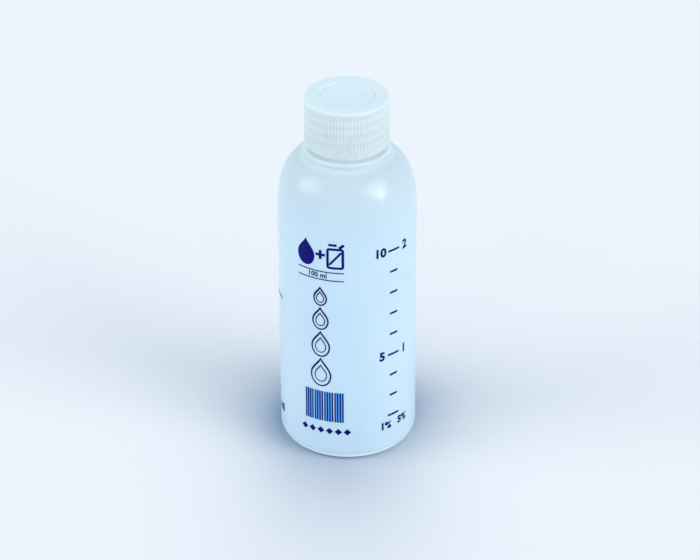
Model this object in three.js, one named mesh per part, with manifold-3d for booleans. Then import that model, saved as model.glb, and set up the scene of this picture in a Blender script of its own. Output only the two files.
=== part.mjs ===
// A small graduated measuring bottle with a ribbed screw cap, in millimetres.
// +Z is up, the origin is the centre of the standing ring, and -Y is the printed front.
import * as THREE from "three";
import * as BufferGeometryUtils from "three/addons/utils/BufferGeometryUtils.js";
import Module from "manifold-3d";

const wasm = await Module();
wasm.setup();

// Bottle body
const body_radius = 21.8;
const wall = 1.0;
const base_fillet = 4.8;
const base_floor = 1.2;
const push_up_height = 1.8;
const standing_ring_width = 3.6;
const body_height = 83.5;
const shoulder_height = 17.6;
const shoulder_power = 2.17;

// Bottle neck and its thread
const neck_radius = 10.95;
const neck_wall = 2.05;
const collar_step = 1.67;
const bead_depth = 0.98;
const bead_height = 1.7;
const bead_lift = 0.6;
const mouth_chamfer = 0.4;
const mouth_margin = 1.0;
const thread_pitch = 3.0;
const thread_depth = 0.95;
const thread_root_width = 1.4;
const thread_crest_width = 0.7;
const thread_sink = 0.45;
const thread_fade_turns = 0.25;

// Screw cap
const cap_height = 15.7;
const cap_wall = 0.75;
const cap_roof = 1.3;
const cap_thread_lift = 0.9;
const cap_edge_fillet = 0.75;
const plain_band_height = 0.55;
const recess_radius = 8.9;
const recess_depth = 0.45;
const recess_slope = 0.3;
const rib_count = 80;
const rib_depth = 0.35;
const rib_crest_share = 0.3;
const rib_flank_share = 0.2;

// Sealing disc
const disc_thickness = 1.1;

// Clearances
const thread_radial_clearance = 0.2;
const disc_clearance = 0.3;
const disc_side_clearance = 0.25;
const cap_over_bead = 1.6;

// Fineness of the round shapes
const round_steps = 48;
const thread_steps = 32;
const arc_steps = 5;
const bead_steps = 6;
const push_up_steps = 5;
const shoulder_steps = 9;
const cut_margin = 1;

// Sizes that follow from the ones above
const inner_radius = body_radius - wall;
const neck_root_z = body_height + shoulder_height;
const bead_middle_z = neck_root_z + bead_lift + bead_height / 2;
const bead_top_z = bead_middle_z + bead_height / 2;
const cap_base_z = bead_top_z + cap_over_bead;
const cap_top_z = cap_base_z + cap_height;
const band_base_z = cap_top_z - cap_edge_fillet - plain_band_height;
const recess_z = cap_top_z - recess_depth;
const roof_z = recess_z - cap_roof;
const disc_top_z = roof_z - disc_clearance;
const disc_bottom_z = disc_top_z - disc_thickness;
const mouth_z = disc_bottom_z - disc_clearance;
const cap_thread_z = cap_base_z + cap_thread_lift;
const neck_thread_z = cap_thread_z + thread_pitch / 2;
const thread_turns = (mouth_z - mouth_margin - neck_thread_z) / thread_pitch;
const collar_radius = neck_radius + collar_step;
const neck_bore_radius = neck_radius - neck_wall;
const neck_crest_radius = neck_radius + thread_depth;
const cap_bore_radius = neck_crest_radius + thread_radial_clearance;
const cap_crest_radius = neck_radius + thread_radial_clearance;
const rib_valley_radius = cap_bore_radius + cap_wall;
const rib_crest_radius = rib_valley_radius + rib_depth;
const disc_radius = cap_bore_radius - disc_side_clearance;

const natural_plastic = new THREE.MeshStandardMaterial({ color: 0xc3e2f7, roughness: 0.35, metalness: 0 });
const cap_plastic = new THREE.MeshStandardMaterial({ color: 0xd5edf8, roughness: 0.4, metalness: 0 });
const foam = new THREE.MeshStandardMaterial({ color: 0xf2f6f8, roughness: 0.9, metalness: 0 });

// Makes a closed solid of a geometry whose faces may still be separate.
function solidOf(geometry) {
  geometry.deleteAttribute("normal");
  geometry.deleteAttribute("uv");
  const merged = BufferGeometryUtils.mergeVertices(geometry, 1e-5);
  const vertProperties = new Float32Array(merged.attributes.position.array);
  const triVerts = new Uint32Array(merged.index.array);
  return new wasm.Manifold(new wasm.Mesh({ numProp: 3, vertProperties, triVerts }));
}

function geometryOf(solid) {
  const mesh = solid.getMesh();
  const geometry = new THREE.BufferGeometry();
  geometry.setAttribute("position", new THREE.BufferAttribute(new Float32Array(mesh.vertProperties), 3));
  geometry.setIndex(new THREE.BufferAttribute(new Uint32Array(mesh.triVerts), 1));
  geometry.computeVertexNormals();
  return geometry;
}

// Turns a closed outline of [radius, height] points about Z. The outline runs counter-clockwise.
function turned(outline, steps = round_steps) {
  const points = outline.map(([r, z]) => new THREE.Vector2(r, z));
  const geometry = new THREE.LatheGeometry(points, steps);
  geometry.rotateX(Math.PI / 2);
  return geometry;
}

// Points of a quarter arc of a circle or of a superellipse, from angle start to angle end in quarter turns.
function quarterArc(centre, radii, start, end, steps, power = 2) {
  const points = [];
  for (let i = 0; i <= steps; i += 1) {
    const angle = (start + (end - start) * i / steps) * Math.PI / 2;
    const across = Math.sign(Math.cos(angle)) * Math.abs(Math.cos(angle)) ** (2 / power);
    const up = Math.sign(Math.sin(angle)) * Math.abs(Math.sin(angle)) ** (2 / power);
    points.push([centre[0] + radii[0] * across, centre[1] + radii[1] * up]);
  }
  return points;
}

// Bends a straight bar of the thread's section onto a right-handed helix.
// side is 1 for a thread that stands outwards from root_radius and -1 for one that stands inwards.
function threadSolid(root_radius, depth, side, start_z) {
  const root = thread_root_width / 2;
  const crest = thread_crest_width / 2;
  const section = new THREE.Shape();
  section.moveTo(-thread_sink, -root);
  section.lineTo(depth, -crest);
  section.lineTo(depth, crest);
  section.lineTo(-thread_sink, root);
  section.closePath();
  const steps = Math.round(thread_turns * thread_steps);
  const bar = new THREE.ExtrudeGeometry(section, { depth: 1, steps, bevelEnabled: false });
  const position = bar.attributes.position;
  for (let i = 0; i < position.count; i += 1) {
    const along = position.getZ(i);
    const turns_from_end = Math.min(along, 1 - along) * thread_turns;
    const fade = Math.min(1, turns_from_end / thread_fade_turns);
    const out = position.getX(i);
    const stand = out > 0 ? out * fade - thread_sink / 2 * (1 - fade) : out;
    const radius = root_radius + side * stand;
    const angle = along * thread_turns * 2 * Math.PI;
    const z = start_z + along * thread_turns * thread_pitch + position.getY(i);
    position.setXYZ(i, radius * Math.cos(angle), radius * Math.sin(angle), z);
  }
  if (side > 0) {
    flipFaces(bar);
  }
  return solidOf(bar);
}

function flipFaces(geometry) {
  const position = geometry.attributes.position;
  for (let i = 0; i < position.count; i += 3) {
    const kept = new THREE.Vector3().fromBufferAttribute(position, i);
    position.setXYZ(i, position.getX(i + 2), position.getY(i + 2), position.getZ(i + 2));
    position.setXYZ(i + 2, kept.x, kept.y, kept.z);
  }
}

// Points of the pushed-up centre of the base, from the axis out to its edge, above base_z.
function pushUp(edge_radius, base_z) {
  const points = [];
  for (let i = 0; i <= push_up_steps; i += 1) {
    const share = i / push_up_steps;
    const rise = push_up_height * (1 + Math.cos(share * Math.PI)) / 2;
    points.push([edge_radius * share, base_z + rise]);
  }
  return points;
}

// The blown bottle: body, shoulder, bead, threaded neck and pushed-up base in one wall.
function bottleGeometry() {
  const ring_outer = body_radius - base_fillet;
  const ring_inner = ring_outer - standing_ring_width;
  const inner_fillet = Math.max(base_fillet - wall, wall);
  const shoulder_centre = [collar_radius, body_height];
  const shoulder_radii = [body_radius - collar_radius, shoulder_height];
  const inner_shoulder_centre = [neck_bore_radius, body_height];
  const inner_shoulder_radii = [inner_radius - neck_bore_radius, shoulder_height - wall];
  const inner_fillet_centre = [inner_radius - inner_fillet, base_floor + inner_fillet];
  const outline = [
    ...pushUp(ring_inner, 0),
    ...quarterArc([ring_outer, base_fillet], [base_fillet, base_fillet], -1, 0, arc_steps),
    ...quarterArc(shoulder_centre, shoulder_radii, 0, 1, shoulder_steps, shoulder_power),
    ...quarterArc([collar_radius, bead_middle_z], [bead_depth, bead_height / 2], -1, 1, bead_steps),
    [neck_radius, bead_top_z],
    [neck_radius, mouth_z - mouth_chamfer],
    [neck_radius - mouth_chamfer, mouth_z],
    [neck_bore_radius, mouth_z],
    ...quarterArc(inner_shoulder_centre, inner_shoulder_radii, 1, 0, shoulder_steps, shoulder_power),
    ...quarterArc(inner_fillet_centre, [inner_fillet, inner_fillet], 0, -1, arc_steps),
    ...pushUp(ring_inner, base_floor).reverse(),
  ];
  const shell = solidOf(turned(outline));
  const thread = threadSolid(neck_radius, thread_depth, 1, neck_thread_z);
  return geometryOf(shell.add(thread));
}

// The cap's ribbed skirt: an outline of ribs seen from above, extruded up to the plain band.
function ribbedSkirt() {
  const rib_step = 2 * Math.PI / rib_count;
  const valley_share = 1 - rib_crest_share - 2 * rib_flank_share;
  const rib = [
    [0, rib_valley_radius],
    [valley_share, rib_valley_radius],
    [valley_share + rib_flank_share, rib_crest_radius],
    [1 - rib_flank_share, rib_crest_radius],
  ];
  const points = [];
  for (let i = 0; i < rib_count; i += 1) {
    for (const [share, radius] of rib) {
      const angle = (i + share) * rib_step;
      points.push(new THREE.Vector2(radius * Math.cos(angle), radius * Math.sin(angle)));
    }
  }
  const outline = new THREE.Shape(points);
  const geometry = new THREE.ExtrudeGeometry(outline, { depth: band_base_z - cap_base_z, bevelEnabled: false });
  geometry.translate(0, 0, cap_base_z);
  return solidOf(geometry);
}

// The moulded cap: ribbed skirt, plain band, recessed top and internal thread.
function capGeometry() {
  const fillet_centre = [rib_crest_radius - cap_edge_fillet, cap_top_z - cap_edge_fillet];
  const top = solidOf(turned([
    [0, band_base_z - rib_depth],
    [rib_valley_radius, band_base_z - rib_depth],
    [rib_crest_radius, band_base_z],
    ...quarterArc(fillet_centre, [cap_edge_fillet, cap_edge_fillet], 0, 1, arc_steps),
    [recess_radius, cap_top_z],
    [recess_radius - recess_slope, recess_z],
    [0, recess_z],
  ]));
  const bore = solidOf(turned([
    [0, cap_base_z - cut_margin],
    [cap_bore_radius, cap_base_z - cut_margin],
    [cap_bore_radius, roof_z],
    [0, roof_z],
  ]));
  const thread = threadSolid(cap_bore_radius, cap_bore_radius - cap_crest_radius, -1, cap_thread_z);
  return geometryOf(ribbedSkirt().add(top).subtract(bore).add(thread));
}

function discGeometry() {
  return geometryOf(solidOf(turned([
    [0, disc_bottom_z],
    [disc_radius, disc_bottom_z],
    [disc_radius, disc_top_z],
    [0, disc_top_z],
  ])));
}

function named(name, geometry, material) {
  const mesh = new THREE.Mesh(geometry, material);
  mesh.name = name;
  return mesh;
}

const measuring_bottle = new THREE.Group();
measuring_bottle.add(
  named("bottle", bottleGeometry(), natural_plastic),
  named("sealing_disc", discGeometry(), foam),
  named("screw_cap", capGeometry(), cap_plastic),
);

export default measuring_bottle;
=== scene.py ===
# %% [markdown]
# # A milky measuring bottle with a ribbed screw cap
# The object is a blown bottle of natural polyethylene, which is milky and lets light through, with a
# printed scale for measuring oil, and a moulded cap that is a little whiter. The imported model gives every
# size and place that matters. This lesson remakes its three pieces with finer surfaces, prints the wall,
# and sets up a camera and soft studio light. All lengths are in metres, and -Y is the printed front.

# %% Load the frame
import math

import bpy
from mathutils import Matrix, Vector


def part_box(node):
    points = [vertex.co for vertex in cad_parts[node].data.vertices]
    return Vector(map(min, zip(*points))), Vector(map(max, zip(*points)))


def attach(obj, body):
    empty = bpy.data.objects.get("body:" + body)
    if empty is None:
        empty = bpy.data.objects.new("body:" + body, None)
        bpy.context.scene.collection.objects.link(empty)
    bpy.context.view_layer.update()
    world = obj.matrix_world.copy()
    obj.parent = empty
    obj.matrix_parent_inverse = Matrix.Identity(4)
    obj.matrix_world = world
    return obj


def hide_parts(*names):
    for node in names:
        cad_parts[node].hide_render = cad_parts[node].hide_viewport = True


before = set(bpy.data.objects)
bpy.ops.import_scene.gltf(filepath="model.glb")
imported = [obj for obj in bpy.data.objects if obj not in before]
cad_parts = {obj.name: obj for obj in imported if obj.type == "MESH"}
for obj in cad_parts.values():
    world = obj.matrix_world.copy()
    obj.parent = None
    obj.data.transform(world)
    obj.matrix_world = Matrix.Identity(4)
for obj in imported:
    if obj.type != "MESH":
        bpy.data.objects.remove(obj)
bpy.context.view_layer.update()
MM = 0.001

# %% [markdown]
# ## Sizes
# The frame says where each piece ends, so the heights of the mouth and the cap are read from it. The rest
# are the bottle's own shapes: its wall, the round base, the shoulder, the bead under the cap and the
# thread. The visual wall stays a hair inside the CAD wall, which leaves room for the printed ink.

# %% Read the main sizes from the frame
_, bottle_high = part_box("bottle")
cap_low, cap_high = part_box("screw_cap")
disc_low, disc_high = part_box("sealing_disc")

INK_ROOM = 0.05 * MM
BODY_RADIUS = bottle_high[0] - INK_ROOM
MOUTH_Z = bottle_high[2]
CAP_BASE_Z = cap_low[2]
CAP_TOP_Z = cap_high[2]
CAP_RADIUS = cap_high[0]
DISC_RADIUS = disc_high[0]

WALL = 1.0 * MM
BASE_FILLET = 4.8 * MM
BASE_FLOOR = 1.2 * MM
PUSH_UP = 1.8 * MM
STANDING_RING = 3.6 * MM
BODY_HEIGHT = 83.5 * MM
SHOULDER_HEIGHT = 17.6 * MM
SHOULDER_POWER = 2.17
NECK_RADIUS = 10.95 * MM
NECK_BORE = 8.9 * MM
COLLAR_RADIUS = 12.62 * MM
BEAD_LIFT = 0.6 * MM
BEAD_HEIGHT = 1.7 * MM
BEAD_DEPTH = 0.98 * MM
print("mouth height in mm:", round(MOUTH_Z / MM, 2), "cap top in mm:", round(CAP_TOP_Z / MM, 2))

# %% [markdown]
# ## Camera
# The photograph looks down at about thirty degrees through a long lens, from almost a metre away. A
# camera is easiest to place by its distance, its elevation and the point that it aims at. It is also
# rolled by a quarter of a degree, as the photograph is.

# %% Place the camera
PHOTO_WIDTH = 700
FOCAL_PIXELS = 3000
SENSOR_WIDTH = 36
CAMERA_DISTANCE = 950.7 * MM
CAMERA_ELEVATION = math.radians(30.35)
CAMERA_ROLL = math.radians(-0.236)
AIM = (0.77 * MM, 0.0, 55.03 * MM)

bpy.ops.object.camera_add(
    location=(
        AIM[0],
        AIM[1] - CAMERA_DISTANCE * math.cos(CAMERA_ELEVATION),
        AIM[2] + CAMERA_DISTANCE * math.sin(CAMERA_ELEVATION),
    ),
    rotation=(math.pi / 2 - CAMERA_ELEVATION, 0, 0),
)
camera = bpy.context.object
camera.name = "camera"
camera.rotation_euler.rotate_axis("Z", CAMERA_ROLL)
camera.data.sensor_width = SENSOR_WIDTH
camera.data.lens = FOCAL_PIXELS * SENSOR_WIDTH / PHOTO_WIDTH
camera.data.clip_end = 20
bpy.context.scene.camera = camera
print("lens in mm:", round(camera.data.lens, 1))

# %% [markdown]
# ## Colours
# A colour picked from a picture is in sRGB, while Blender's shaders count in linear light. This helper
# turns the one into the other, so the values below can be read as they look.

# %% Turn a picture colour into linear light
def linear(red, green, blue):
    channels = []
    for value in (red, green, blue):
        share = value / 255
        channels.append(share / 12.92 if share <= 0.04045 else ((share + 0.055) / 1.055) ** 2.4)
    return (*channels, 1.0)


# %% [markdown]
# ## Small helpers for nodes
# Every finish below is a net of nodes: steps of arithmetic on a point's place, which end in a mix of two
# colours. Written out, each node takes four or five lines. These helpers do it in one, so that the
# formulas stay easy to read.

# %% Helpers for materials and their nodes
def feed(tree, socket, value):
    """Gives a socket another node's output, or else a plain value."""
    if isinstance(value, bpy.types.NodeSocket):
        tree.links.new(value, socket)
    else:
        socket.default_value = value


def step_maker(tree):
    """Gives a function that adds steps of arithmetic to a node tree."""

    def step(operation, *values):
        """One step. Each value is a number or another node's output."""
        node = tree.nodes.new("ShaderNodeMath")
        node.operation = operation
        for socket, value in zip(node.inputs, values):
            feed(tree, socket, value)
        return node.outputs[0]

    return step


def colour_mix(tree, factor, first, second, blend="MIX"):
    """Mixes two colours. Each value is plain or another node's output."""
    mix = tree.nodes.new("ShaderNodeMix")
    mix.data_type = "RGBA"
    mix.blend_type = blend
    for name, value in (("Factor", factor), ("A", first), ("B", second)):
        feed(tree, mix.inputs[name], value)
    return mix.outputs["Result"]


def new_material(name):
    """Makes a material. Returns it, its node tree and its shader."""
    material = bpy.data.materials.new(name)
    material.use_nodes = True
    return material, material.node_tree, material.node_tree.nodes["Principled BSDF"]


def object_axes(tree):
    """The X, Y and Z of a point's place on its object."""
    place = tree.nodes.new("ShaderNodeTexCoord")
    axes = tree.nodes.new("ShaderNodeSeparateXYZ")
    tree.links.new(place.outputs["Object"], axes.inputs[0])
    return axes.outputs


# %% [markdown]
# ## Floor
# The bottle stands on a pale table that runs on without an edge. In the photograph a soft bluish shade
# lies round the base and reaches furthest towards the front, more than lamps alone give on so bright a
# table. A fainter one lies behind the bottle and spreads slantwise to both sides, like two wings. So the
# table's colour passes to a deeper blue there, by the place on the table alone.

# %% Name the table's colours and how far its shade reaches
FLOOR_SIZE = 12.0
FLOOR_COLOUR = linear(237, 240, 243)
SHADE_COLOUR = (0.0, FLOOR_COLOUR[1] * 0.16, FLOOR_COLOUR[2] * 0.37, 1.0)
SHADE_DEPTH = 0.64
LIGHTER_RIGHT = 0.2
LIGHTER_FRONT = 0.22
SHADE_REACH_SIDE = 12 * MM
SHADE_REACH_FRONT = 46 * MM
FRONT_NARROWNESS = 12
BACK_SHADE_DEPTH = 0.3
BACK_SHADE_REACH = 20 * MM
BACK_NARROWNESS = 4
WING_DEPTH = 0.26
WING_REACH = 50 * MM
print("reach of the shade in mm:", round(SHADE_REACH_FRONT / MM), "and", round(SHADE_REACH_SIDE / MM))

# %% Paint the table by the place on it
floor_material, floor_tree, floor_shader = new_material("pale_table")
floor_shader.inputs["Roughness"].default_value = 0.9
floor_shader.inputs["Specular IOR Level"].default_value = 0.1

# The distance from the axis is never less than half the body's radius, so nothing is divided by zero.
floor_step = step_maker(floor_tree)
floor_axes = object_axes(floor_tree)
squares = floor_step("MULTIPLY", floor_axes["X"], floor_axes["X"])
squares = floor_step("MULTIPLY_ADD", floor_axes["Y"], floor_axes["Y"], squares)
from_axis = floor_step("MAXIMUM", floor_step("SQRT", squares), BODY_RADIUS / 2)
from_wall = floor_step("MAXIMUM", floor_step("SUBTRACT", from_axis, BODY_RADIUS), 0.0)
toward_right = floor_step("DIVIDE", floor_axes["X"], from_axis)
toward_back = floor_step("DIVIDE", floor_axes["Y"], from_axis)
toward_front = floor_step("MULTIPLY", toward_back, -1.0)


def fading(reach):
    """1 at the wall, and less and less away from it."""
    return floor_step("EXPONENT", floor_step("MULTIPLY", floor_step("DIVIDE", from_wall, reach), -1.0))


def facing(direction, narrowness):
    """1 straight in a direction and 0 straight away from it. A high narrowness makes a narrow beam."""
    return floor_step("POWER", floor_step("MULTIPLY_ADD", direction, 0.5, 0.5), narrowness)


# The shade round the base reaches furthest to the front, and is lighter to the right and the front.
frontness = facing(toward_front, FRONT_NARROWNESS)
reach = floor_step("MULTIPLY_ADD", frontness, SHADE_REACH_FRONT - SHADE_REACH_SIDE, SHADE_REACH_SIDE)
depth = floor_step("MULTIPLY_ADD", floor_step("MAXIMUM", toward_right, 0.0), -LIGHTER_RIGHT, SHADE_DEPTH)
depth = floor_step("MULTIPLY_ADD", floor_step("MAXIMUM", toward_front, 0.0), -LIGHTER_FRONT, depth)

# The shade behind is the sum of one straight behind the bottle and one wing to each side.
behind = floor_step("MULTIPLY", fading(BACK_SHADE_REACH), facing(toward_back, BACK_NARROWNESS))
wings = floor_step("MULTIPLY", floor_step("ABSOLUTE", toward_right), floor_step("MAXIMUM", toward_back, 0.0))
wings = floor_step("MULTIPLY", wings, fading(WING_REACH))
shade = floor_step("MULTIPLY_ADD", fading(reach), depth, floor_step("MULTIPLY", behind, BACK_SHADE_DEPTH))
shade = floor_step("MULTIPLY_ADD", wings, WING_DEPTH, shade)
floor_blend = colour_mix(floor_tree, shade, FLOOR_COLOUR, SHADE_COLOUR)
floor_tree.links.new(floor_blend, floor_shader.inputs["Base Color"])

# %% Lay the table
bpy.ops.mesh.primitive_plane_add(size=FLOOR_SIZE, location=(0, 0, 0))
floor = bpy.context.object
floor.name = "floor"
floor.data.materials.append(floor_material)
print("floor in m:", FLOOR_SIZE)

# %% [markdown]
# ## Light
# Two soft boxes stand low, one to the right and one to the left, and throw a wide soft shadow to each
# side. Sun lamps with a wide angle act as such boxes and light the table evenly to its far end. The world
# fills in with bluish light, which tints the shadows. A small lamp on each side is seen only in
# reflections: it is the soft box's bright middle, which shows as a round spot on the shoulder.

# %% Hang the lights
WORLD_COLOUR = (0.8, 0.9, 1.0, 1.0)
WORLD_STRENGTH = 0.86
BACKDROP_COLOUR = linear(236, 245, 254)
WARM_WHITE = (1.0, 0.9, 0.8)
SPOT_WHITE = (1.0, 1.0, 1.0)


def add_soft_box(name, azimuth, elevation, strength, width, colour=WARM_WHITE):
    """Adds a wide sun lamp that shines from an azimuth, counted from the front to the right."""
    bpy.ops.object.light_add(type="SUN", location=(0, 0, 1))
    lamp = bpy.context.object
    lamp.name = name
    lamp.rotation_euler = (math.pi / 2 - math.radians(elevation), 0, math.radians(azimuth))
    lamp.data.energy = strength
    lamp.data.angle = math.radians(width)
    lamp.data.color = colour
    return lamp


def add_reflected_spot(name, azimuth, elevation, strength, width):
    """Adds a small lamp that shows in reflections and lights nothing."""
    lamp = add_soft_box(name, azimuth, elevation, strength, width, SPOT_WHITE)
    lamp.visible_diffuse = False
    lamp.visible_transmission = False


add_soft_box("soft_box_right", azimuth=56, elevation=27, strength=1.2, width=36)
add_soft_box("soft_box_left", azimuth=-76, elevation=27, strength=0.9, width=40)
add_reflected_spot("spot_right", azimuth=60, elevation=10, strength=0.36, width=14)
add_reflected_spot("spot_left", azimuth=-84, elevation=14, strength=0.13, width=14)

world = bpy.data.worlds.new("studio")
world.use_nodes = True
world_nodes, world_links = world.node_tree.nodes, world.node_tree.links
studio_light = world_nodes["Background"]
studio_light.inputs["Color"].default_value = WORLD_COLOUR
studio_light.inputs["Strength"].default_value = WORLD_STRENGTH

# What the camera, a reflection or a clear piece sees of the world is the pale backdrop.
backdrop = world_nodes.new("ShaderNodeBackground")
backdrop.inputs["Color"].default_value = BACKDROP_COLOUR
world_step = step_maker(world.node_tree)
path = world_nodes.new("ShaderNodeLightPath")
seen = world_step("MAXIMUM", path.outputs["Is Camera Ray"], path.outputs["Is Glossy Ray"])
seen = world_step("MAXIMUM", seen, path.outputs["Is Transmission Ray"])
world_mix = world_nodes.new("ShaderNodeMixShader")
world_links.new(seen, world_mix.inputs[0])
world_links.new(studio_light.outputs[0], world_mix.inputs[1])
world_links.new(backdrop.outputs[0], world_mix.inputs[2])
world_links.new(world_mix.outputs[0], world_nodes["World Output"].inputs["Surface"])
bpy.context.scene.world = world
bpy.context.scene.view_settings.view_transform = "Standard"

# %% [markdown]
# ## Turning a shape
# Bottle, cap and disc are all round, so each is one ring of points that is extruded up and resized again
# and again, as on a potter's wheel. The list of radii and heights is the outline of half a section. Where
# the outline reaches the axis, the last small ring is merged into one point, which closes the pole.

# %% A helper that turns an outline of (radius, height) points
POLE_RADIUS = 0.02 * MM


def start_clean():
    """Leaves edit mode and deselects everything, because an operator acts on all that is selected."""
    if bpy.context.object and bpy.context.object.mode != "OBJECT":
        bpy.ops.object.mode_set(mode="OBJECT")
    bpy.ops.object.select_all(action="DESELECT")


def pick(*pieces):
    """Selects only these pieces and makes the first one active."""
    start_clean()
    for piece in pieces:
        piece.select_set(True)
    bpy.context.view_layer.objects.active = pieces[0]


def select_vertices(piece, chosen):
    """Selects the vertices for which chosen says yes, and stays in edit mode."""
    bpy.ops.object.mode_set(mode="EDIT")
    bpy.ops.mesh.select_mode(type="VERT")
    bpy.ops.mesh.select_all(action="DESELECT")
    bpy.ops.object.mode_set(mode="OBJECT")
    for vertex in piece.data.vertices:
        vertex.select = chosen(vertex.co)
    bpy.ops.object.mode_set(mode="EDIT")


def turned(name, outline, sides):
    """Makes a closed round piece from an outline that starts and ends at the axis."""
    start_clean()
    radius, height = outline[0]
    radius = max(radius, POLE_RADIUS)
    bpy.ops.mesh.primitive_circle_add(vertices=sides, radius=radius, location=(0, 0, height))
    piece = bpy.context.object
    piece.name = name
    bpy.ops.object.transform_apply(location=True, rotation=True, scale=True)
    bpy.ops.object.mode_set(mode="EDIT")
    bpy.ops.mesh.select_all(action="SELECT")
    for next_radius, next_height in outline[1:]:
        next_radius = max(next_radius, POLE_RADIUS)
        bpy.ops.mesh.extrude_region_move(TRANSFORM_OT_translate={"value": (0, 0, next_height - height)})
        grow = next_radius / radius
        bpy.ops.transform.resize(value=(grow, grow, 1), center_override=(0, 0, next_height))
        radius, height = next_radius, next_height
    bpy.ops.mesh.merge(type="CENTER")
    first_height = outline[0][1]

    def at_first_pole(co):
        return math.hypot(co.x, co.y) < 2 * POLE_RADIUS and abs(co.z - first_height) < POLE_RADIUS

    select_vertices(piece, at_first_pole)
    bpy.ops.mesh.merge(type="CENTER")
    bpy.ops.mesh.select_all(action="SELECT")
    bpy.ops.mesh.normals_make_consistent(inside=False)
    bpy.ops.object.mode_set(mode="OBJECT")
    return piece


def arc(centre, radii, start, end, steps, power=2.0):
    """Points of an arc about centre, from start to end in quarter turns. A power over 2 makes it squarer."""
    points = []
    for step in range(steps + 1):
        angle = (start + (end - start) * step / steps) * math.pi / 2
        across = math.copysign(abs(math.cos(angle)) ** (2 / power), math.cos(angle))
        up = math.copysign(abs(math.sin(angle)) ** (2 / power), math.sin(angle))
        points.append((centre[0] + radii[0] * across, centre[1] + radii[1] * up))
    return points


def smooth(piece, angle=40):
    """Shades a piece smoothly, but keeps the edges that are sharper than angle."""
    pick(piece)
    bpy.ops.object.shade_smooth_by_angle(angle=math.radians(angle))


# %% [markdown]
# ## The blown bottle
# A blown bottle is one wall of about a millimetre. Its outline goes out from the pushed-up centre of the
# base, round the fillet, up the wall and over the shoulder to the bead and the mouth, and comes back down
# inside. The shoulder is a little squarer than a quarter of an ellipse, as the photograph shows.

# %% Turn the bottle's wall
BODY_SIDES = 192
FLOOR_STEPS = 6
FILLET_STEPS = 10
SHOULDER_STEPS = 28
BEAD_STEPS = 10
MOUTH_EDGE = 0.4 * MM
BORE_EDGE = 0.3 * MM

bead_middle_z = BODY_HEIGHT + SHOULDER_HEIGHT + BEAD_LIFT + BEAD_HEIGHT / 2
bead_top_z = bead_middle_z + BEAD_HEIGHT / 2
ring_outer = BODY_RADIUS - BASE_FILLET
ring_inner = ring_outer - STANDING_RING
inner_radius = BODY_RADIUS - WALL
inner_fillet = BASE_FILLET - WALL
inner_corner = (inner_radius - inner_fillet, BASE_FLOOR + inner_fillet)
outer_shoulder = (BODY_RADIUS - COLLAR_RADIUS, SHOULDER_HEIGHT)
inner_shoulder = (inner_radius - NECK_BORE, SHOULDER_HEIGHT - WALL)


def raised(share):
    """How far the base is pushed up, at a share of the way from the axis to the standing ring."""
    return PUSH_UP * (1 + math.cos(share * math.pi)) / 2


def push_up(base_z):
    """The raised centre of the base, from the axis out to the standing ring."""
    shares = [step / FLOOR_STEPS for step in range(FLOOR_STEPS + 1)]
    return [(ring_inner * share, base_z + raised(share)) for share in shares]


bottle_outline = [
    *push_up(0),
    *arc((ring_outer, BASE_FILLET), (BASE_FILLET, BASE_FILLET), -1, 0, FILLET_STEPS),
    *arc((COLLAR_RADIUS, BODY_HEIGHT), outer_shoulder, 0, 1, SHOULDER_STEPS, SHOULDER_POWER),
    *arc((COLLAR_RADIUS, bead_middle_z), (BEAD_DEPTH, BEAD_HEIGHT / 2), -1, 1, BEAD_STEPS),
    (NECK_RADIUS, bead_top_z),
    (NECK_RADIUS, MOUTH_Z - MOUTH_EDGE),
    (NECK_RADIUS - MOUTH_EDGE * 0.3, MOUTH_Z - MOUTH_EDGE * 0.3),
    (NECK_RADIUS - MOUTH_EDGE, MOUTH_Z),
    (NECK_BORE + BORE_EDGE, MOUTH_Z),
    (NECK_BORE, MOUTH_Z - BORE_EDGE),
    *arc((NECK_BORE, BODY_HEIGHT), inner_shoulder, 1, 0, SHOULDER_STEPS, SHOULDER_POWER),
    *arc(inner_corner, (inner_fillet, inner_fillet), 0, -1, FILLET_STEPS),
    *reversed(push_up(BASE_FLOOR)),
]
bottle = turned("bottle_wall", bottle_outline, BODY_SIDES)
print("bottle faces:", len(bottle.data.polygons))

# %% [markdown]
# ## Threads
# The neck's thread stands out of the wall, and the cap's stands in from it, half a pitch lower. Both are
# one small section that the Screw modifier winds up nearly three turns. Each end then sinks into the wall
# over a quarter of a turn.

# %% A helper that winds a thread
THREAD_PITCH = 3.0 * MM
THREAD_DEPTH = 0.95 * MM
THREAD_ROOT_WIDTH = 1.4 * MM
THREAD_CREST_WIDTH = 0.7 * MM
THREAD_SINK = 0.4 * MM
THREAD_CLEARANCE = 0.2 * MM
THREAD_STEPS_PER_TURN = 64
THREAD_FADE_TURNS = 0.25
THREAD_START = 0.9 * MM
THREAD_BELOW_MOUTH = 1.0 * MM
cap_thread_z = CAP_BASE_Z + THREAD_START
neck_thread_z = cap_thread_z + THREAD_PITCH / 2
thread_turns = (MOUTH_Z - THREAD_BELOW_MOUTH - neck_thread_z) / THREAD_PITCH


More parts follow.
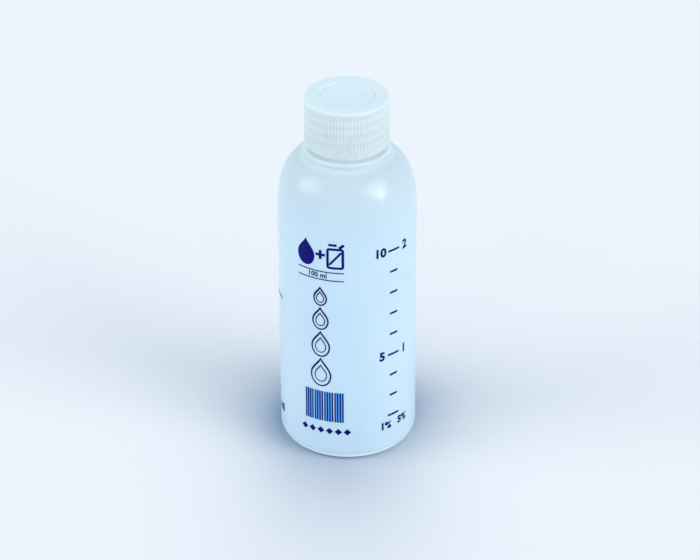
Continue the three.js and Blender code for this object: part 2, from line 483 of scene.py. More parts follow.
def wound_thread(name, root_radius, side, start_z):
    """Winds a thread onto root_radius. It stands outwards if side is 1 and inwards if it is -1."""
    start_clean()
    depth = THREAD_DEPTH + THREAD_SINK
    middle = root_radius + side * (THREAD_DEPTH - THREAD_SINK) / 2
    bpy.ops.mesh.primitive_plane_add(size=1, location=(middle, 0, start_z), rotation=(math.pi / 2, 0, 0))
    thread = bpy.context.object
    thread.name = name
    thread.scale = (depth, THREAD_ROOT_WIDTH, 1)
    bpy.ops.object.transform_apply(location=True, rotation=True, scale=True)
    select_vertices(thread, lambda co: (co.x - middle) * side > 0)
    narrowing = THREAD_CREST_WIDTH / THREAD_ROOT_WIDTH
    bpy.ops.transform.resize(value=(1, 1, narrowing), center_override=(middle, 0, start_z))
    bpy.ops.mesh.select_all(action="SELECT")
    bpy.ops.mesh.delete(type="ONLY_FACE")
    bpy.ops.object.mode_set(mode="OBJECT")
    winding = thread.modifiers.new("winding", "SCREW")
    winding.axis = "Z"
    winding.angle = 2 * math.pi * thread_turns
    winding.screw_offset = THREAD_PITCH * thread_turns
    winding.steps = round(THREAD_STEPS_PER_TURN * thread_turns)
    winding.render_steps = winding.steps
    bpy.ops.object.modifier_apply(modifier=winding.name)
    sink_ends(thread, root_radius, side, start_z)
    bpy.ops.object.mode_set(mode="EDIT")
    bpy.ops.mesh.select_all(action="SELECT")
    bpy.ops.mesh.fill_holes(sides=4)
    bpy.ops.mesh.normals_make_consistent(inside=False)
    bpy.ops.object.mode_set(mode="OBJECT")
    return thread


def sink_ends(thread, root_radius, side, start_z):
    """Lets the crest run out into the wall at both ends."""
    for vertex in thread.data.vertices:
        radius = math.hypot(vertex.co.x, vertex.co.y)
        stand = (radius - root_radius) * side
        if stand <= 0:
            continue
        climb = (vertex.co.z - start_z) / THREAD_PITCH
        from_end = max(0.0, min(climb, thread_turns - climb))
        fade = min(1.0, from_end / THREAD_FADE_TURNS)
        new_stand = stand * fade - THREAD_SINK / 2 * (1 - fade)
        grow = (root_radius + side * new_stand) / radius
        vertex.co.x *= grow
        vertex.co.y *= grow


def joined(main, *others):
    """Joins other pieces into the main one."""
    pick(main, *others)
    bpy.ops.object.join()
    return main


# %% [markdown]
# ### The inner face
# Light is caught inside a milky bottle, so the material has to tell the wall's inner face from the outer
# one. An attribute on the points says which is which. A point is inside if it is above the middle of the
# floor and within the middle of the wall.

# %% Mark the inner face of the wall
def is_inside(co):
    radius = math.hypot(co.x, co.y)
    if co.z < raised(min(radius / ring_inner, 1.0)) + BASE_FLOOR / 2:
        return False
    if co.z <= BODY_HEIGHT:
        return radius < BODY_RADIUS - WALL / 2
    if radius < NECK_BORE + WALL / 2:
        return True
    across = (radius - NECK_BORE) / (inner_radius + WALL / 2 - NECK_BORE)
    up = (co.z - BODY_HEIGHT) / (SHOULDER_HEIGHT - WALL / 2)
    return up < 1 and across ** SHOULDER_POWER + up ** SHOULDER_POWER < 1


inside = bottle.data.attributes.new("inside", "FLOAT", "POINT")
inside.data.foreach_set("value", [1.0 if is_inside(vertex.co) else 0.0 for vertex in bottle.data.vertices])
print("inner points:", sum(1 for item in inside.data if item.value > 0.5), "of", len(inside.data))

# %% [markdown]
# ### The neck's thread
# The thread is part of the same wall, so it is joined to it. It starts half a pitch above the cap's thread
# and stops short of the mouth. The joined piece takes the place of the CAD model's bottle.

# %% Wind the neck's thread and hand the bottle to the frame
neck_thread = wound_thread("neck_thread", NECK_RADIUS, 1, neck_thread_z)
joined(bottle, neck_thread)
smooth(bottle)
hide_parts("bottle")
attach(bottle, "bottle")
print("turns of thread:", round(thread_turns, 2))

# %% [markdown]
# ## The moulded cap
# The cap is a pot with a skirt, a round top edge and a recess that leads down to a shallow dish. It is
# turned like the bottle, but with eight points for each of its eighty ribs, which are pulled out later.

# %% Turn the plain cap
RIBS = 80
POINTS_PER_RIB = 8
RIB_DEPTH = 0.17 * MM
RIB_END = 0.3 * MM
CAP_FILLET = 0.45 * MM
PLAIN_BAND = 0.55 * MM
RECESS_RADIUS = 8.9 * MM
RECESS_DEPTH = 0.45 * MM
LIP = 0.22 * MM
LIP_STEPS = 5
DISH_RADIUS = 6.6 * MM
DISH_DEPTH = 0.22 * MM
ROOF = 1.3 * MM
ROOF_CORNER = 0.3 * MM
FOOT_CHAMFER = (0.2 * MM, 0.25 * MM)
FOOT_EDGE = 0.12 * MM

valley_radius = CAP_RADIUS - RIB_DEPTH
cap_bore = NECK_RADIUS + THREAD_DEPTH + THREAD_CLEARANCE
band_base_z = CAP_TOP_Z - CAP_FILLET - PLAIN_BAND
recess_z = CAP_TOP_Z - RECESS_DEPTH
roof_z = recess_z - ROOF

cap_outline = [
    (0, roof_z),
    (cap_bore - ROOF_CORNER, roof_z),
    (cap_bore, roof_z - ROOF_CORNER),
    (cap_bore, CAP_BASE_Z + FOOT_CHAMFER[1]),
    (cap_bore + FOOT_CHAMFER[0], CAP_BASE_Z),
    (valley_radius - FOOT_EDGE, CAP_BASE_Z),
    (valley_radius, CAP_BASE_Z + FOOT_EDGE),
    (valley_radius, CAP_BASE_Z + RIB_END),
    (valley_radius, band_base_z - RIB_END),
    *arc((valley_radius, band_base_z), (RIB_DEPTH, RIB_END * 0.8), -1, 0, 3),
    *arc((CAP_RADIUS - CAP_FILLET, CAP_TOP_Z - CAP_FILLET), (CAP_FILLET, CAP_FILLET), 0, 1, 8),
    *arc((RECESS_RADIUS + LIP, CAP_TOP_Z - LIP), (LIP, LIP), 1, 2, LIP_STEPS),
    *arc((RECESS_RADIUS - LIP, recess_z + LIP), (LIP, LIP), 0, -1, LIP_STEPS),
]
# The dish's edge is a soft step: outwards from its radius in mm, and the share of its depth.
for outwards, share in ((0.3, 0), (0.15, 0.2), (0, 0.8), (-0.2, 1)):
    cap_outline.append((DISH_RADIUS + outwards * MM, recess_z - DISH_DEPTH * share))
cap_outline.append((0, recess_z - DISH_DEPTH))
cap = turned("ribbed_cap", cap_outline, RIBS * POINTS_PER_RIB)
print("cap faces before the ribs:", len(cap.data.polygons))

# %% [markdown]
# ### The ribs
# Fine upright ribs give the fingers a grip. They stop short of a plain band under the top edge. The points
# that lie on a rib are selected by their angle and resized outwards, first the flanks with the crest and
# then the crest alone, which rounds the rib. The rows at both ends are left alone, so each rib ends in a
# short slope.

# %% Pull the ribs out of the skirt
FLANK_HALF_WIDTH = 0.3
CREST_HALF_WIDTH = 0.15
SKIRT_TOLERANCE = 0.03 * MM


def rib_share(co):
    """How far round its rib a point lies, from 0 to 1, with the rib's crest at 0.5."""
    return (math.atan2(co.y, co.x) / (2 * math.pi) * RIBS) % 1.0


def on_skirt(co, radius):
    """Whether a point is on the outer skirt at a radius, between the rows where the ribs end."""
    outside = abs(math.hypot(co.x, co.y) - radius) < SKIRT_TOLERANCE
    return outside and CAP_BASE_Z + RIB_END * 0.9 < co.z < band_base_z - RIB_END * 0.9


middle_radius = valley_radius + RIB_DEPTH / 2
for half_width, radius, new_radius in (
    (FLANK_HALF_WIDTH, valley_radius, middle_radius),
    (CREST_HALF_WIDTH, middle_radius, CAP_RADIUS),
):
    select_vertices(cap, lambda co: on_skirt(co, radius) and abs(rib_share(co) - 0.5) < half_width)
    grow = new_radius / radius
    bpy.ops.transform.resize(value=(grow, grow, 1), center_override=(0, 0, 0))
    bpy.ops.object.mode_set(mode="OBJECT")
print("ribs:", RIBS, "of depth in mm:", round((CAP_RADIUS - valley_radius) / MM, 2))

# %% [markdown]
# ### The cap's thread
# The thread inside the skirt is wound like the neck's, but it stands inwards. With it the cap is whole.

# %% Wind the cap's thread and hand the cap to the frame
cap_thread = wound_thread("cap_thread", cap_bore, -1, cap_thread_z)
joined(cap, cap_thread)
smooth(cap, angle=50)
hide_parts("screw_cap")
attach(cap, "cap")
print("cap size in mm:", [round(value / MM, 2) for value in cap.dimensions])

# %% [markdown]
# ## The sealing disc
# A round wad of foam lies under the cap's roof and closes the mouth. It is cut from a sheet, so its faces
# are flat and its rim is only slightly rounded. It shows when the cap is off.

# %% Turn the sealing disc
DISC_SIDES = 96
DISC_EDGE = 0.2 * MM

disc_outline = [
    (0, disc_low[2]),
    *arc((DISC_RADIUS - DISC_EDGE, disc_low[2] + DISC_EDGE), (DISC_EDGE, DISC_EDGE), -1, 0, 4),
    *arc((DISC_RADIUS - DISC_EDGE, disc_high[2] - DISC_EDGE), (DISC_EDGE, DISC_EDGE), 0, 1, 4),
    (0, disc_high[2]),
]
disc = turned("foam_disc", disc_outline, DISC_SIDES)
smooth(disc)
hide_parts("sealing_disc")
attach(disc, "disc")
print("disc faces:", len(disc.data.polygons))

# %% [markdown]
# ## Printing on a round wall
# Ink lies on the wall as a thin film. Each print is drawn flat first, where numbers and lines are easy to
# place, with X along the wall and Y up it. It is then cut into narrow upright strips and rolled round the
# wall by turning each X into an angle, so that nothing is stretched. Two faces a few hundredths of a
# millimetre apart make the film a solid.

# %% Helpers for flat print
STRIP = 0.8 * MM
INK_LIFT = 0.012 * MM
INK_FILM = 0.02 * MM
flat_prints = []


def keep_flat(piece, x, y, turn=0.0):
    """Puts a flat print at a place in the flat layout and remembers it."""
    piece.rotation_euler = (0, 0, turn)
    piece.location = (x, y, 0)
    pick(piece)
    bpy.ops.object.transform_apply(location=True, rotation=True, scale=True)
    flat_prints.append(piece)


def plane(width, height):
    """A plane about the origin."""
    start_clean()
    bpy.ops.mesh.primitive_plane_add(size=1)
    bpy.context.object.scale = (width, height, 1)
    bpy.ops.object.transform_apply(scale=True)
    return bpy.context.object


def flat_bar(x, y, width, height, turn=0.0):
    """A filled bar about its centre."""
    keep_flat(plane(width, height), x, y, turn)


def flat_text(words, x, y, size, bold):
    """Plain characters about their centre, with bold as an extra width of line."""
    start_clean()
    bpy.ops.object.text_add()
    text = bpy.context.object
    text.data.body = words
    text.data.size = size
    text.data.offset = bold
    text.data.align_x = text.data.align_y = "CENTER"
    text.data.resolution_u = 4
    bpy.ops.object.convert(target="MESH")
    keep_flat(bpy.context.object, x, y)


def roll_onto_wall(name, azimuth):
    """Joins the flat prints, cuts them into strips and rolls them round the wall at an azimuth."""
    ink = joined(*flat_prints)
    flat_prints.clear()
    ink.name = name
    places = [vertex.co.x for vertex in ink.data.vertices]
    bpy.ops.object.mode_set(mode="EDIT")
    cut = math.ceil(min(places) / STRIP) * STRIP
    while cut < max(places):
        bpy.ops.mesh.select_all(action="SELECT")
        bpy.ops.mesh.bisect(plane_co=(cut, 0, 0), plane_no=(1, 0, 0))
        cut += STRIP
    bpy.ops.mesh.select_all(action="SELECT")
    bpy.ops.mesh.normals_make_consistent(inside=False)
    bpy.ops.object.mode_set(mode="OBJECT")
    film = ink.modifiers.new("film", "SOLIDIFY")
    film.thickness = INK_FILM
    film.offset = 0
    bpy.ops.object.modifier_apply(modifier=film.name)
    for vertex in ink.data.vertices:
        angle = math.radians(azimuth) + vertex.co.x / BODY_RADIUS
        radius = BODY_RADIUS + INK_LIFT + INK_FILM / 2 + vertex.co.z
        vertex.co = (radius * math.sin(angle), -radius * math.cos(angle), vertex.co.y)
    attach(ink, "bottle")
    print(name, "faces:", len(ink.data.polygons))
    return ink


# %% [markdown]
# ### The front scale
# The scale has a mark for every 10 ml from 20 to 100. The wall's inner radius gives the height of 10 ml,
# so the marks measure what they say. The marks for 20, 50 and 100 ml are longer. The numbers beside them
# give the litres of petrol that the oil is enough for, at one per cent on the left and at five on the right.

# %% Print the front scale
SCALE_AZIMUTH = 41.4
SCALE_ZERO = 0.25 * MM
TEN_ML = 7.52 * MM
LONG_MARK = 4.5 * MM
SHORT_MARK = 3.1 * MM
MARK_WIDTH = 0.7 * MM
NUMBER_SIZE = 4.2 * MM
NUMBER_BOLD = 0.17 * MM
PERCENT_SIZE = 3.5 * MM
LONG_MARKS = (2, 5, 10)


def mark_height(tens):
    return SCALE_ZERO + TEN_ML * tens


for tens in range(2, 11):
    flat_bar(0, mark_height(tens), LONG_MARK if tens in LONG_MARKS else SHORT_MARK, MARK_WIDTH)
# Each number has its offset along the wall in mm and its mark, and each percentage its drop below one.
for words, offset, tens in (("10", -5.1, 10), ("2", 4.9, 10), ("5", -4.4, 5), ("1", 4.7, 5)):
    flat_text(words, offset * MM, mark_height(tens), NUMBER_SIZE, NUMBER_BOLD)
for words, offset, drop in (("1%", -3.0, 3.7), ("5%", 3.9, 3.4)):
    flat_text(words, offset * MM, mark_height(2) - drop * MM, PERCENT_SIZE, NUMBER_BOLD)
front_scale = roll_onto_wall("front_scale", SCALE_AZIMUTH)

# %% [markdown]
# ### The side scale
# A second scale runs round the left side and is mostly out of sight. It is kept plain: a mark for every
# 10 ml, one long line at 70 ml, and its unit below.

# %% Print the side scale
SIDE_AZIMUTH = -90
SIDE_MARKS_X = -0.6 * MM
LONG_LINE = 9.0 * MM
LONG_LINE_START = -1.5 * MM
UNIT_DROP = 3.6 * MM

for tens in range(2, 11):
    flat_bar(SIDE_MARKS_X, mark_height(tens), SHORT_MARK, MARK_WIDTH)
flat_bar(LONG_LINE / 2 + LONG_LINE_START, mark_height(7), LONG_LINE, MARK_WIDTH)
for words, offset, height in (
    ("70", -4.6, mark_height(7)),
    ("100", -5.6, mark_height(10)),
    ("ml", 5.6, mark_height(2) - UNIT_DROP),
):
    flat_text(words, offset * MM, height, NUMBER_SIZE, NUMBER_BOLD)
side_scale = roll_onto_wall("side_scale", SIDE_AZIMUTH)

# %% [markdown]
# ### Drops and boxes
# The panel to the left of the scale shows plain signs of bars, drops and boxes. A drop is a Bezier circle
# whose top point is drawn up to a tip. A smaller copy inside it cuts it to an outline, because a filled
# curve leaves out what lies inside two loops. A round-cornered box is a bevelled plane that is inset, with
# its middle deleted.

# %% Helpers for drops and boxes
DROP_ROUND = 0.33
DROP_TIP = 1 - DROP_ROUND
DROP_MIDDLE = (DROP_TIP - DROP_ROUND) / 2


def flat_drop(x, y, height, line=0.0):
    """A drop about its centre. With a line width it is an outline, otherwise it is filled."""
    start_clean()
    bpy.ops.curve.primitive_bezier_circle_add(radius=height * DROP_ROUND)
    drop = bpy.context.object
    top = max(drop.data.splines[0].bezier_points, key=lambda point: point.co.y)
    top.handle_left_type = top.handle_right_type = "VECTOR"
    top.co.y = height * DROP_TIP
    if line > 0:
        bpy.ops.object.mode_set(mode="EDIT")
        bpy.ops.curve.select_all(action="SELECT")
        bpy.ops.curve.duplicate_move()
        inner = 1 - line / (height * DROP_ROUND)
        bpy.ops.transform.resize(value=(inner, inner, 1), center_override=(0, 0, 0))
        bpy.ops.object.mode_set(mode="OBJECT")
    drop.data.dimensions = "2D"
    drop.data.fill_mode = "FRONT"
    drop.data.resolution_u = 8
    bpy.ops.object.convert(target="MESH")
    keep_flat(bpy.context.object, x, y - height * DROP_MIDDLE)


def flat_ring(x, y, width, height, line, corner):
    """An outlined box with round corners, about its centre."""
    ring = plane(width, height)
    bpy.ops.object.mode_set(mode="EDIT")
    bpy.ops.mesh.select_all(action="SELECT")
    bpy.ops.mesh.bevel(offset=corner, segments=4, affect="VERTICES")
    bpy.ops.mesh.select_all(action="SELECT")
    bpy.ops.mesh.inset(thickness=line)
    bpy.ops.mesh.delete(type="FACE")
    bpy.ops.object.mode_set(mode="OBJECT")
    keep_flat(ring, x, y)


# %% [markdown]
# ### The heading
# At the top of the panel stand an oil drop and a fuel can with a plus between them: oil is added to petrol.
# Below them is the bottle's content between two thin lines.

# %% Draw the heading and the content
PANEL_AZIMUTH = -23.2
PANEL_WIDTH = 15.6 * MM
HEADING_Z = 75.9 * MM
HEADING_DROP_X = -4.9 * MM
HEADING_DROP_HEIGHT = 9.4 * MM
PLUS_X = 0.2 * MM
PLUS_LENGTH = 3.2 * MM
PLUS_WIDTH = 0.9 * MM
CAN_X = 5.0 * MM
CAN_Z = HEADING_Z - 0.9 * MM
CAN_SIZE = (5.6 * MM, 7.4 * MM)
CAN_LINE = 0.8 * MM
CAN_CORNER = 1.0 * MM
UPPER_LINE_Z = 69.95 * MM
LOWER_LINE_Z = 67.1 * MM
THIN_LINE = 0.36 * MM
CONTENT_X = -0.9 * MM
CONTENT_SIZE = 2.35 * MM
CONTENT_BOLD = 0.06 * MM

flat_drop(HEADING_DROP_X, HEADING_Z, HEADING_DROP_HEIGHT)
flat_bar(PLUS_X, HEADING_Z, PLUS_LENGTH, PLUS_WIDTH)
flat_bar(PLUS_X, HEADING_Z, PLUS_WIDTH, PLUS_LENGTH)
flat_ring(CAN_X, CAN_Z, *CAN_SIZE, CAN_LINE, CAN_CORNER)
# The can's handle, spout and stripe: a middle and a size in mm, and a turn in degrees.
for x, above, width, height, turn in (
    (4.2, 3.9, 2.6, 0.8, 0),
    (7.0, 3.5, 1.9, 0.9, 40),
    (5.0, -0.9, 5.9, 0.7, 50),
):
    flat_bar(x * MM, HEADING_Z + above * MM, width * MM, height * MM, math.radians(turn))
for line_z in (UPPER_LINE_Z, LOWER_LINE_Z):
    flat_bar(0, line_z, PANEL_WIDTH, THIN_LINE)
flat_text("100 ml", CONTENT_X, (UPPER_LINE_Z + LOWER_LINE_Z) / 2, CONTENT_SIZE, CONTENT_BOLD)
print("flat prints in the heading:", len(flat_prints))

# %% [markdown]
# ### The column of drops
# Four outlined drops with even gaps grow towards the base. Each has a smaller outline inside it.

# %% Draw the column of drops
DRAWN_LINE = 0.5 * MM
INNER_LINE = 0.32 * MM
INNER_DROP = 0.6
INNER_DROP_PLACE = 0.54
COLUMN_TOP_Z = 64.5 * MM
COLUMN_BOTTOM_Z = 28.0 * MM

drop_heights = (7.0 * MM, 8.4 * MM, 9.6 * MM, 10.6 * MM)
drop_gap = (COLUMN_TOP_Z - COLUMN_BOTTOM_Z - sum(drop_heights)) / (len(drop_heights) - 1)
drop_top = COLUMN_TOP_Z
for drop_height in drop_heights:
    flat_drop(0, drop_top - drop_height / 2, drop_height, DRAWN_LINE)
    flat_drop(0, drop_top - drop_height * INNER_DROP_PLACE, drop_height * INNER_DROP, INNER_LINE)
    drop_top -= drop_height + drop_gap
print("gap between the drops in mm:", round(drop_gap / MM, 2))

# %% [markdown]
# ### Bars and diamonds
# At the foot of the panel are a field of even bars and a row of small diamonds. The bars stand in groups of
# four, and the gaps within a group carry a second, brighter ink. Each ink is a piece of its own, so that it
# can have its own material.

# %% Draw the bars and diamonds and print the panel
BARS_Z = 20.7 * MM
BARS_HEIGHT = 11.0 * MM
BARS_WIDTH = 13.4 * MM
BARS_MIDDLE = 0.9 * MM
BAR_COUNT = 16
BAR_SHARE = 0.55
BARS_IN_GROUP = 4
DIAMONDS = 6
DIAMONDS_Z = 11.6 * MM
DIAMONDS_MIDDLE = 1.3 * MM
DIAMOND_STEP = 2.9 * MM
DIAMOND_SIZE = 1.7 * MM

bar_step = BARS_WIDTH / BAR_COUNT
bars_left = BARS_MIDDLE - BARS_WIDTH / 2
for index in range(BAR_COUNT):
    flat_bar(bars_left + (index + 0.5) * bar_step, BARS_Z, bar_step * BAR_SHARE, BARS_HEIGHT)
for index in range(DIAMONDS):
    diamond_x = DIAMONDS_MIDDLE + (index - (DIAMONDS - 1) / 2) * DIAMOND_STEP
    flat_bar(diamond_x, DIAMONDS_Z, DIAMOND_SIZE, DIAMOND_SIZE, turn=math.pi / 4)
front_panel = roll_onto_wall("front_panel", PANEL_AZIMUTH)

for index in range(1, BAR_COUNT):
    if index % BARS_IN_GROUP:
        flat_bar(bars_left + index * bar_step, BARS_Z, bar_step * (1 - BAR_SHARE), BARS_HEIGHT)
bar_gaps = roll_onto_wall("bar_gaps", PANEL_AZIMUTH)

# %% [markdown]
# ## Milky plastic
# Natural polyethylene is neither clear nor solid: light goes about a millimetre into it and comes out
# again, which softens every shade. Subsurface scattering does that. A fine noise in the colour, the
# roughness and the bump keeps it from looking like glass. The pieces differ only in their values, so the
# noise is a node group that they share.

# %% A node group for the faint unevenness of moulded plastic
def new_group(name, colours, numbers=(), number_outputs=()):
    """Starts a node group. Returns it, what it is given, and the sockets that take its results."""
    group = bpy.data.node_groups.new(name, "ShaderNodeTree")
    for in_out, socket_type, socket_names in (
        ("INPUT", "NodeSocketColor", colours),
        ("INPUT", "NodeSocketFloat", numbers),
        ("OUTPUT", "NodeSocketColor", ("Color",)),
        ("OUTPUT", "NodeSocketFloat", number_outputs),
    ):
        for socket_name in socket_names:
            group.interface.new_socket(socket_name, in_out=in_out, socket_type=socket_type)
    given = group.nodes.new("NodeGroupInput")
    result = group.nodes.new("NodeGroupOutput")
    return group, given.outputs, result.inputs


def add_group(tree, group, values):
    """Adds a group to a material and feeds its inputs by their names."""
    node = tree.nodes.new("ShaderNodeGroup")
    node.node_tree = group
    for name, value in values.items():
        feed(tree, node.inputs[name], value)
    return node


def make_cloudiness():
    group, given, result = new_group(
        "cloudiness",
        colours=("Light", "Deep"),
        numbers=("Scale", "Low Roughness", "High Roughness"),
        number_outputs=("Roughness", "Height"),
    )
    place = group.nodes.new("ShaderNodeTexCoord")
    cloud = group.nodes.new("ShaderNodeTexNoise")
    cloud.inputs["Detail"].default_value = 3
    rough = group.nodes.new("ShaderNodeMapRange")
    group.links.new(place.outputs["Object"], cloud.inputs["Vector"])
    group.links.new(given["Scale"], cloud.inputs["Scale"])
    group.links.new(cloud.outputs["Fac"], rough.inputs["Value"])
    group.links.new(given["Low Roughness"], rough.inputs["To Min"])
    group.links.new(given["High Roughness"], rough.inputs["To Max"])
    cloud_colour = colour_mix(group, cloud.outputs["Fac"], given["Light"], given["Deep"])
    group.links.new(cloud_colour, result["Color"])
    group.links.new(rough.outputs["Result"], result["Roughness"])
    group.links.new(cloud.outputs["Fac"], result["Height"])
    return group


cloudiness = make_cloudiness()
print("nodes in the group:", len(cloudiness.nodes))

# %% [markdown]
# ### Three plastics
# The bottle, the cap and the foam are one kind of finish. Scattering is the same all over a piece, so it is
# set straight on the shader. Only the colour, the roughness and the bump come from the group.

# %% Mix the three plastics
CLOUD_BUMP_STRENGTH = 0.15
CLOUD_BUMP_HEIGHT = 0.05 * MM


def cloudy_material(name, light, deep, scale, roughness):
    """A material with a cloudy colour and roughness. Returns it, its shader and its cloudiness node."""
    material, tree, shader = new_material(name)
    values = {"Light": light, "Deep": deep, "Scale": scale}
    values["Low Roughness"], values["High Roughness"] = roughness
    cloud = add_group(tree, cloudiness, values)
    tree.links.new(cloud.outputs["Color"], shader.inputs["Base Color"])
    tree.links.new(cloud.outputs["Roughness"], shader.inputs["Roughness"])
    return material, shader, cloud


def add_bump(tree, strength, distance, height):
    """Adds a bump that reads its height from another node's output."""
    bump = tree.nodes.new("ShaderNodeBump")
    bump.inputs["Strength"].default_value = strength
    bump.inputs["Distance"].default_value = distance
    tree.links.new(height, bump.inputs["Height"])
    return bump


def plastic(name, light, deep, scale, roughness, scatter, scatter_reach):
    """A cloudy material that light goes into. Returns the same three."""
    material, shader, cloud = cloudy_material(name, light, deep, scale, roughness)
    tree = material.node_tree
    bump = add_bump(tree, CLOUD_BUMP_STRENGTH, CLOUD_BUMP_HEIGHT, cloud.outputs["Height"])
    bump.name = "cloud_bump"
    tree.links.new(bump.outputs["Normal"], shader.inputs["Normal"])
    shader.inputs["Subsurface Weight"].default_value = scatter
    shader.inputs["Subsurface Radius"].default_value = (1.0, 1.0, 1.0)
    shader.inputs["Subsurface Scale"].default_value = scatter_reach
    shader.inputs["IOR"].default_value = 1.5
    return material, shader, cloud


bottle_plastic, bottle_shader, bottle_cloud = plastic(
    "natural_bottle_plastic",
    light=linear(203, 226, 240),
    deep=linear(194, 219, 236),
    scale=40,
    roughness=(0.22, 0.3),
    scatter=0.5,
    scatter_reach=1.2 * MM,
)
cap_plastic, cap_shader, cap_cloud = plastic(
    "natural_cap_plastic",
    light=linear(217, 230, 233),
    deep=linear(210, 225, 228),
    scale=120,
    roughness=(0.36, 0.46),
    scatter=0.7,
    scatter_reach=1.0 * MM,
)
foam_plastic, *_ = plastic(
    "white_foam",
    light=linear(244, 248, 250),
    deep=linear(228, 236, 240),
    scale=900,
    roughness=(0.8, 0.95),
    scatter=0.3,
    scatter_reach=1.0 * MM,
)
print("plastics:", bottle_plastic.name, cap_plastic.name, foam_plastic.name)

# %% [markdown]
# ## Colours by height
# A group that passes from one colour to another by height. It paints shade on the bottle's shoulder,
# and gives the cap's flat top a bluer colour than its skirt.

# %% A node group that blends two colours by height
def make_height_blend():
    group, given, result = new_group(
        "height_blend", colours=("Lower Color", "Upper Color"), numbers=("From Height", "To Height")
    )
    rise = group.nodes.new("ShaderNodeMapRange")
    rise.interpolation_type = "SMOOTHSTEP"
    group.links.new(object_axes(group)["Z"], rise.inputs["Value"])
    group.links.new(given["From Height"], rise.inputs["From Min"])
    group.links.new(given["To Height"], rise.inputs["From Max"])
    blend = colour_mix(group, rise.outputs["Result"], given["Lower Color"], given["Upper Color"])
    group.links.new(blend, result["Color"])
    return group


height_blend = make_height_blend()

# %% [markdown]
# ### The shoulder's painted shade
# The shoulder faces up and takes more light than the body's upright wall, so a painted shade greys its
# colour a little, and the shade grows with height towards the neck.

# %% Paint shade on the shoulder
SHOULDER_SHADE_COLOUR = linear(197, 216, 225)
SHOULDER_SHADE_FROM_Z = BODY_HEIGHT - 6 * MM
SHOULDER_SHADE_TO_Z = BODY_HEIGHT + SHOULDER_HEIGHT * 0.9

bottle_tree = bottle_plastic.node_tree
# Painted shade: the shoulder's colour passes to a greyer, darker tone by height.
shoulder_shade_values = {"Lower Color": bottle_cloud.outputs["Color"], "Upper Color": SHOULDER_SHADE_COLOUR}
shoulder_shade_values |= {"From Height": SHOULDER_SHADE_FROM_Z, "To Height": SHOULDER_SHADE_TO_Z}
shoulder = add_group(bottle_tree, height_blend, shoulder_shade_values)
bottle_tree.links.new(shoulder.outputs["Color"], bottle_shader.inputs["Base Color"])
print("the shoulder greys from", round(SHOULDER_SHADE_FROM_Z / MM, 1), "to", round(SHOULDER_SHADE_TO_Z / MM, 1), "mm")

# %% [markdown]
# ### The thread behind the skirt
# The skirt is darker in faint rows that climb round it. They are a painted shade where the neck's thread
# behind the skirt blocks the light that comes through. Scattering that shows a thread through a wall would
# need a very slow render, so the rows are painted on, by height and by the angle round the axis. The flat
# top has its own colour and no rows.

# %% Paint the shade of the thread's rows
THREAD_SHADE_COLOUR = linear(205, 221, 225)
TOP_COLOUR = linear(214, 231, 237)
ROW_TURNS = thread_turns + 1
TOP_FROM_Z = CAP_TOP_Z - 1.4 * MM
TOP_TO_Z = CAP_TOP_Z - 0.7 * MM


# Painted shade: darker rows that climb round the skirt where the neck's thread lies behind it.
def make_painted_thread_shade():
    group, given, result = new_group("painted_thread_shade", colours=("Color", "Thread Shade Color"))
    step = step_maker(group)
    axes = object_axes(group)
    angle = step("ARCTAN2", axes["Y"], axes["X"])
    height = step("SUBTRACT", axes["Z"], neck_thread_z)
    climb = step("MULTIPLY", height, 2 * math.pi / THREAD_PITCH)
    wave = step("COSINE", step("SUBTRACT", climb, angle))
    wave = step("POWER", step("MULTIPLY_ADD", wave, 0.5, 0.5), 2)
    above = step("GREATER_THAN", height, 0.0)
    below = step("LESS_THAN", height, THREAD_PITCH * ROW_TURNS)
    share = step("MULTIPLY", step("MULTIPLY", wave, above), below)
    group.links.new(colour_mix(group, share, given["Color"], given["Thread Shade Color"]), result["Color"])
    return group


cap_tree = cap_plastic.node_tree
thread_shade_values = {"Color": cap_cloud.outputs["Color"], "Thread Shade Color": THREAD_SHADE_COLOUR}
cap_thread_shade = add_group(cap_tree, make_painted_thread_shade(), thread_shade_values)
top_values = {"Lower Color": cap_thread_shade.outputs["Color"], "Upper Color": TOP_COLOUR}
top_values |= {"From Height": TOP_FROM_Z, "To Height": TOP_TO_Z}
cap_top = add_group(cap_tree, height_blend, top_values)
cap_tree.links.new(cap_top.outputs["Color"], cap_shader.inputs["Base Color"])
print("rows of the thread:", round(ROW_TURNS, 1))

# %% [markdown]
# ### Light inside the wall
# The gap under the cap, the foot and the inner face would be dark on a solid bottle, but on the real one
# light reaches them inside the wall. So they get a faint glow of their own. Under the cap and at the foot
# it is read from the height, and it is brightest at one height and fades over a reach. The inner face is
# known by its attribute.

# %% Let light through under the cap, round the base and inside
BEAD_FOOT_Z = BODY_HEIGHT + SHOULDER_HEIGHT
BEAD_REACH = 0.6 * MM
GLOWS = (
    ((0.27, 0.28, 0.26, 1), bead_top_z + 0.4 * MM, BEAD_REACH),
    ((0.2, 0.2, 0.18, 1), BEAD_FOOT_Z + 0.3 * MM, BEAD_REACH),
    ((0.05, 0.03, 0.0, 1), 0.0, 6.0 * MM),
)
INNER_FACE_GLOW = (0.2, 0.22, 0.22, 1)
NO_GLOW = (0, 0, 0, 1)


def bell(step, away):
    """Steps that give 1 where away is 0, and nearly 0 beyond 2 to both sides."""
    return step("EXPONENT", step("MULTIPLY", step("MULTIPLY", away, away), -1.0))


def make_inner_light():
    group, given, result = new_group("inner_light", colours=("Glow",), numbers=("Height", "Reach"))
    step = step_maker(group)
    away = step("SUBTRACT", object_axes(group)["Z"], given["Height"])
    share = bell(step, step("DIVIDE", away, given["Reach"]))
    group.links.new(colour_mix(group, share, NO_GLOW, given["Glow"]), result["Color"])
    return group


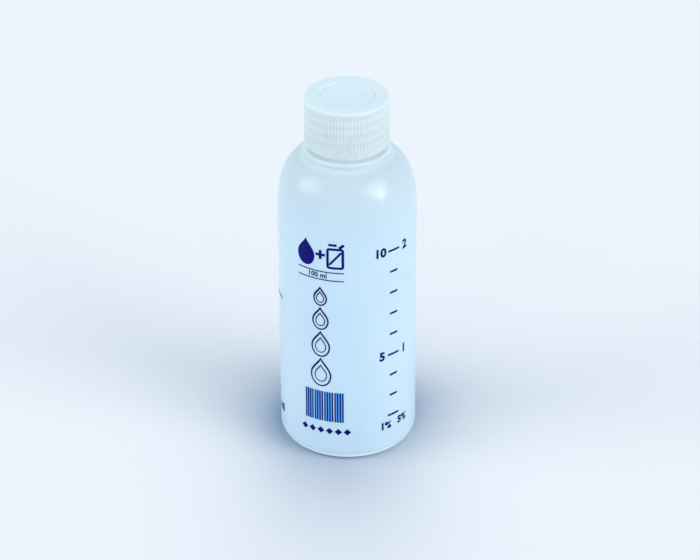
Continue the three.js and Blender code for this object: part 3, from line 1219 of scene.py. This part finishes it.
inner_light = make_inner_light()
glow_sum = NO_GLOW
for colour, height, reach in GLOWS:
    glow = add_group(bottle_tree, inner_light, {"Glow": colour, "Height": height, "Reach": reach})
    glow_sum = colour_mix(bottle_tree, 1.0, glow_sum, glow.outputs["Color"], blend="ADD")
inner_face = bottle_tree.nodes.new("ShaderNodeAttribute")
inner_face.attribute_name = "inside"
face_glow = colour_mix(bottle_tree, inner_face.outputs["Fac"], glow_sum, INNER_FACE_GLOW)
bottle_tree.links.new(face_glow, bottle_shader.inputs["Emission Color"])
bottle_shader.inputs["Emission Strength"].default_value = 1.0
print("places with a glow by height:", len(GLOWS))

# %% [markdown]
# ### The mould's parting line
# A bottle is blown between two halves of a mould, and a hair of plastic stands up where they meet. It runs
# up both sides and across the base. Its height is read from the distance to the plane between the halves,
# which is turned so that it stays clear of the print.

# %% Raise the parting line
SEAM_AZIMUTH = math.radians(80)
SEAM_WIDTH = 0.2 * MM
SEAM_STRENGTH = 0.8
SEAM_HEIGHT = 0.12 * MM

seam_axes = object_axes(bottle_tree)
bottle_step = step_maker(bottle_tree)
seam_away = bottle_step("MULTIPLY", seam_axes["X"], math.cos(SEAM_AZIMUTH) / SEAM_WIDTH)
seam_away = bottle_step("MULTIPLY_ADD", seam_axes["Y"], math.sin(SEAM_AZIMUTH) / SEAM_WIDTH, seam_away)
seam_bump = add_bump(bottle_tree, SEAM_STRENGTH, SEAM_HEIGHT, bell(bottle_step, seam_away))
bottle_tree.links.new(bottle_tree.nodes["cloud_bump"].outputs["Normal"], seam_bump.inputs["Normal"])
bottle_tree.links.new(seam_bump.outputs["Normal"], bottle_shader.inputs["Normal"])
print("parting line in degrees from the front:", round(math.degrees(SEAM_AZIMUTH)))

# %% [markdown]
# ## Ink
# The print is a thin matt film that is pressed on, so its colour varies a little. The cloudiness of the
# plastics serves here too, with a finer grain, but no light goes into the ink and little is reflected.

# %% Mix the printing inks
INK_GRAIN = 1500
INK_ROUGHNESS = (0.4, 0.55)


def printing_ink(name, light, deep):
    """A thin matt ink between a light and a deep tone."""
    material, shader, _ = cloudy_material(name, light, deep, INK_GRAIN, INK_ROUGHNESS)
    shader.inputs["Specular IOR Level"].default_value = 0.1
    return material


navy_ink = printing_ink("navy_ink", light=linear(0, 6, 122), deep=linear(0, 0, 96))
bright_ink = printing_ink("bright_blue_ink", light=linear(96, 168, 236), deep=linear(70, 146, 222))
print("inks:", navy_ink.name, "and", bright_ink.name)

# %% [markdown]
# ## Dressing the pieces
# Each piece has one finish all over, so it gets one material. Joining can leave empty slots behind, and
# these are cleared first.

# %% Give each piece its material
def dress(piece, material):
    piece.data.materials.clear()
    piece.data.materials.append(material)


dress(bottle, bottle_plastic)
dress(cap, cap_plastic)
dress(disc, foam_plastic)
for ink in (front_scale, side_scale, front_panel):
    dress(ink, navy_ink)
dress(bar_gaps, bright_ink)
print("materials:", sorted(material.name for material in bpy.data.materials))
